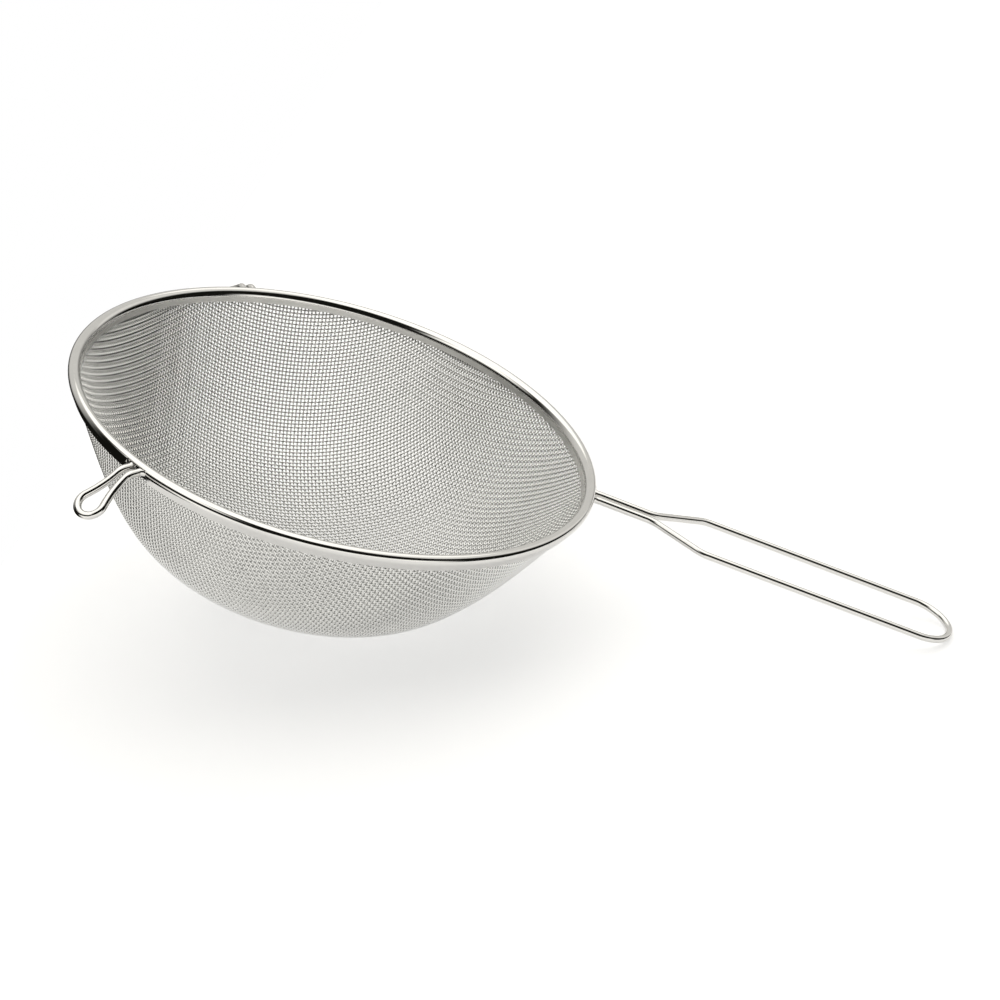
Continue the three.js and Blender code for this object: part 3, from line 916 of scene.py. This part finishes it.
def cloth_steel(name, shade):
    """Drawn steel, with painted shade where the wires dip between each other and painted light on
    their crests, and a little uneven.
    """
    material = bpy.data.materials.new(name)
    sheet = NodeSheet(material)
    spot = sheet.node("ShaderNodeTexCoord", {}, {}, "Object")
    patch = sheet.noise(spot, CLOTH_PATCH_SCALE, CLOTH_DETAIL)
    fleck = sheet.noise(spot, CLOTH_FLECK_SCALE, CLOTH_DETAIL)
    crest = sheet.smooth(sheet.attribute("crest", "Fac"), *CREST_EDGE)
    # Painted light and shade: the base colour is brighter on the crests and darker in the dips,
    # standing in for the shadows and dark reflections between the wires.
    painted_crest_light = crest * (CREST_LEAST + CREST_PATCH * patch)
    shader = sheet.node("ShaderNodeBsdfPrincipled", {}, {
        "Base Color": sheet.blend(painted_crest_light, colour(shade, PAINTED_VALLEY_SHADE), colour(shade)),
        "Metallic": 1.0,
        "Roughness": (CLOTH_ROUGHNESS + CLOTH_FLECK_ROUGHNESS * (fleck - NOISE_MIDDLE)
                      + CLOTH_PATCH_ROUGHNESS * (patch - NOISE_MIDDLE)),
    })
    sheet.node("ShaderNodeOutputMaterial", {}, {"Surface": shader})
    return material


# How far the table is lifted towards white, as the camera and as the metal sees it.
CAMERA_LIFT = 0.5
MIRROR_LIFT = 0.28


def floor_finish(shade):
    """A white table that takes light and shade, lifted for the camera and in the metal."""
    material = bpy.data.materials.new("White table")
    sheet = NodeSheet(material)
    lit = sheet.node("ShaderNodeBsdfDiffuse", {}, {"Color": colour(shade)})
    seen = sheet.node("ShaderNodeLightPath", {}, {}, "Is Camera Ray")
    mirrored = sheet.node("ShaderNodeLightPath", {}, {}, "Is Glossy Ray")
    lift = sheet.blend(CAMERA_LIFT * seen + MIRROR_LIFT * mirrored, BLACK, WHITE)
    white = sheet.node("ShaderNodeEmission", {}, {"Color": lift, "Strength": 1.0})
    both = sheet.node("ShaderNodeAddShader", {}, {0: lit, 1: white})
    sheet.node("ShaderNodeOutputMaterial", {}, {"Surface": both})
    return material


# The studio's light zones, by direction. Each pair of numbers is where a zone starts to brighten
# and where it is whole. A zone without a gain has the studio's full brightness.
STUDIO_DARK = (0.005, 0.005, 0.004, 1.0)
STUDIO_BRIGHT = (1.0, 0.985, 0.94, 1.0)
STUDIO_STRENGTH = 1.3
# The overhead light leans 15 degrees to the back, and is weaker towards the right.
OVERHEAD_UP, OVERHEAD_BACK = 0.966, 0.259
OVERHEAD_EDGE = (0.72, 0.8)
OVERHEAD_LOSS = 0.4
OVERHEAD_RIGHT = (0.35, 0.7)
# The backdrop stands behind, and stops short of the far right.
BACKDROP_GAIN = 0.5
BACKDROP_FRONT = (0.0, 0.6)
BACKDROP_FOOT = (-0.25, 0.25)
BACKDROP_RIGHT = (-0.82, -0.66)
# The left box hangs high at the left and in front.
LEFT_BOX_SIDE = (0.1, 0.35)
LEFT_BOX_FOOT = (0.5, 0.72)
LEFT_BOX_BACK = (-0.05, 0.25)
# The right box reaches lower towards the back.
RIGHT_BOX_GAIN = 0.6
RIGHT_BOX_SIDE = (0.4, 0.6)
RIGHT_BOX_SLANT = 0.8
RIGHT_BOX_FOOT = (0.5, 0.75)
# The apron is the table's front, below a horizon that is higher at the right.
APRON_GAIN = 0.85
APRON_BACK = (0.3, 0.6)
APRON_TOP = (-0.06, 0.02)
HORIZON_RISE = 0.16
HORIZON_RIGHT = (-0.25, 0.05)


def studio_world(world):
    """White to the camera. The metal sees light zones, and the dark towards the camera."""
    sheet = NodeSheet(world)
    way = sheet.node("ShaderNodeTexCoord", {}, {}, "Generated")
    right, behind, above = (
        sheet.node("ShaderNodeSeparateXYZ", {}, {0: way}, axis) for axis in range(3))
    left, front = 0.0 - right, 0.0 - behind
    overhead = sheet.smooth(OVERHEAD_UP * above + OVERHEAD_BACK * behind, *OVERHEAD_EDGE)
    overhead = overhead * (1 - OVERHEAD_LOSS * sheet.smooth(right, *OVERHEAD_RIGHT))
    backdrop = (BACKDROP_GAIN * sheet.smooth(behind, *BACKDROP_FRONT)
                * sheet.smooth(above, *BACKDROP_FOOT) * sheet.smooth(left, *BACKDROP_RIGHT))
    left_box = (sheet.smooth(left, *LEFT_BOX_SIDE) * sheet.smooth(above, *LEFT_BOX_FOOT)
                * sheet.smooth(front, *LEFT_BOX_BACK))
    right_box = (RIGHT_BOX_GAIN * sheet.smooth(right, *RIGHT_BOX_SIDE)
                 * sheet.smooth(above + RIGHT_BOX_SLANT * behind, *RIGHT_BOX_FOOT))
    horizon = above - HORIZON_RISE * sheet.smooth(right, *HORIZON_RIGHT)
    apron = (APRON_GAIN * sheet.smooth(front, *APRON_BACK)
             * sheet.smooth(0.0 - horizon, *APRON_TOP))
    bright = overhead
    for zone in (backdrop, left_box, right_box, apron):
        bright = sheet.maths("MAXIMUM", bright, zone)
    seen = sheet.node("ShaderNodeLightPath", {}, {}, "Is Camera Ray")
    studio = sheet.node("ShaderNodeBackground", {}, {
        "Color": sheet.blend(bright, STUDIO_DARK, STUDIO_BRIGHT), "Strength": STUDIO_STRENGTH})
    white = sheet.node("ShaderNodeBackground", {}, {"Color": WHITE, "Strength": 1.0})
    mixed = sheet.node("ShaderNodeMixShader", {}, {0: seen, 1: studio, 2: white})
    sheet.node("ShaderNodeOutputWorld", {}, {"Surface": mixed})


# The table: half its width and depth, and its middle, just below the sieve.
TABLE_HALF = (0.265, 0.9, 1.0)
TABLE_MIDDLE = (0.055, 0.3, -0.0004)
# The camera: its bearing and height, its place from the rim's centre in its own axes, its lens.
CAMERA_BEARING = math.radians(6.989)
CAMERA_HEIGHT = math.radians(26.815)
CAMERA_BACK, CAMERA_RIGHT, CAMERA_DOWN = 0.83215, 0.061745, 0.032014
CAMERA_LENS = 79.895
CAMERA_SENSOR = 36.0
CAMERA_CLIP = 0.05


class SIEVE_OT_stage(bpy.types.Operator):
    """Sets the table, the light and the camera"""

    bl_idname = "sieve.stage"
    bl_label = "Stage"

    def execute(self, context):
        scene = context.scene
        scene.view_settings.view_transform = "Standard"
        self.set_table(scene)
        scene.world = bpy.data.worlds.new("Studio")
        studio_world(scene.world)
        self.set_camera(scene)
        return {"FINISHED"}

    @staticmethod
    def set_table(scene):
        shape = bmesh.new()
        bmesh.ops.create_grid(shape, x_segments=1, y_segments=1, size=1.0)
        bmesh.ops.scale(shape, vec=TABLE_HALF, verts=shape.verts)
        bmesh.ops.translate(shape, vec=TABLE_MIDDLE, verts=shape.verts)
        mesh = bpy.data.meshes.new("table")
        shape.to_mesh(mesh)
        shape.free()
        mesh.materials.append(floor_finish(scene.sieve_finish.floor))
        table = bpy.data.objects.new("table", mesh)
        scene.collection.objects.link(table)

    @staticmethod
    def set_camera(scene):
        back = Vector((math.sin(CAMERA_BEARING) * math.cos(CAMERA_HEIGHT),
                       -math.cos(CAMERA_BEARING) * math.cos(CAMERA_HEIGHT),
                       math.sin(CAMERA_HEIGHT)))
        right = Vector((math.cos(CAMERA_BEARING), math.sin(CAMERA_BEARING), 0.0))
        up = back.cross(right)
        axes = Matrix((right, up, back)).transposed().to_4x4()
        spot = (Vector(scene.sieve_rest.rim_centre) + CAMERA_BACK * back + CAMERA_RIGHT * right
                - CAMERA_DOWN * up)
        lens = bpy.data.cameras.new("Camera")
        lens.lens = CAMERA_LENS
        lens.sensor_width = CAMERA_SENSOR
        lens.clip_start = CAMERA_CLIP
        camera = bpy.data.objects.new("Camera", lens)
        camera.matrix_world = Matrix.Translation(spot) @ axes
        scene.collection.objects.link(camera)
        scene.camera = camera


class SIEVE_PT_pieces(bpy.types.Panel):
    """Lists the pieces and their sizes"""

    bl_idname = "SIEVE_PT_pieces"
    bl_label = "Bowl Sieve"
    bl_space_type = "VIEW_3D"
    bl_region_type = "UI"
    bl_category = "Sieve"

    def draw(self, context):
        column = self.layout.column(align=True)
        for step in STEPS:
            column.operator(step.bl_idname)
        for name in GROUPS:
            group = getattr(context.scene, name)
            box = self.layout.box()
            for key in group.__annotations__:
                box.prop(group, key)


STEPS = (SIEVE_OT_band, SIEVE_OT_handle, SIEVE_OT_hooks, SIEVE_OT_cloth, SIEVE_OT_stage)
GROUPS = {
    "sieve_rest": SieveRest,
    "sieve_band": BandSizes,
    "sieve_wires": WireSizes,
    "sieve_cloth": ClothSizes,
    "sieve_finish": SieveFinish,
}
CLASSES = (*GROUPS.values(), *STEPS, SIEVE_PT_pieces)


def register():
    for item in CLASSES:
        bpy.utils.register_class(item)
    for name, group in GROUPS.items():
        setattr(bpy.types.Scene, name, PointerProperty(type=group))


def unregister():
    for name in GROUPS:
        delattr(bpy.types.Scene, name)
    for item in reversed(CLASSES):
        bpy.utils.unregister_class(item)


def main():
    register()
    bpy.ops.sieve.rim_band()
    bpy.ops.sieve.handle_wire()
    bpy.ops.sieve.rest_hooks()
    bpy.ops.sieve.wire_cloth()
    bpy.ops.sieve.stage()


if __name__ == "__main__":
    main()
